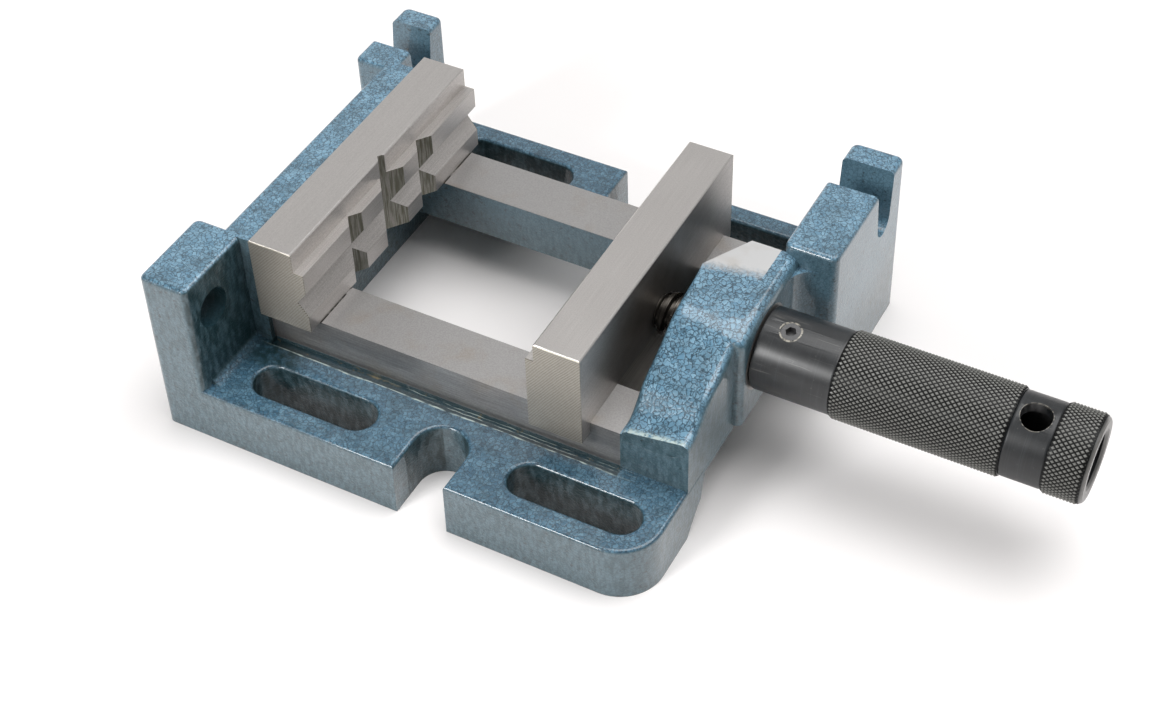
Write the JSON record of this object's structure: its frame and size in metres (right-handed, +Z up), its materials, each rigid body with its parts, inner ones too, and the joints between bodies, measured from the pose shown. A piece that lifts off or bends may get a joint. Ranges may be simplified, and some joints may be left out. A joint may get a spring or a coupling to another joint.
{
  "type": "drill press vise",
  "caption": "Drill press vise: slotted cast base with ground rails, grooved fixed jaw and a sliding jaw moved by a hollow knurled handle on the screw.",
  "frame": {"origin": "middle of the four table slots, in the plane of the table", "axes": "+X along the screw towards the handle, +Y across the vise towards the tall upright, +Z up"},
  "size_m": [0.2667, 0.1508, 0.0631],
  "materials": {
    "casting": "blue hammer paint",
    "ground_steel": "ground",
    "plain_steel": "turned",
    "fasteners": "black oxide",
    "bronze": "turned bronze",
    "black_steel": "black oxide, knurled"
  },
  "bodies": {
    "base": {"vise_body": "casting", "fixed_jaw": "ground_steel", "fixed_jaw_screws": "fasteners"},
    "handle": {"handle_sleeve": "black_steel", "handle_grub_screw": "fasteners", "nut_bush": "bronze", "thrust_washer": "plain_steel"},
    "jaw": {"moving_jaw": "ground_steel", "guide_block": "ground_steel", "keeper_plate": "plain_steel", "keeper_screws": "fasteners", "lead_screw": "plain_steel", "screw_pin": "plain_steel"}
  },
  "joints": [
    {"name": "handle_spin", "type": "hinge", "parent": "base", "child": "handle", "pos_m": [0.0907, 0, 0.0395], "axis": [1, 0, 0], "range_deg": [-8892, 1092]},
    {"name": "jaw_slide", "type": "slide", "parent": "base", "child": "jaw", "axis": [1, 0, 0], "range_m": [-0.074, 0.009]}
  ],
  "couplings": [
    {"joint": "handle_spin", "follows": "jaw_slide", "rad_per_m": 2094.4}
  ]
}
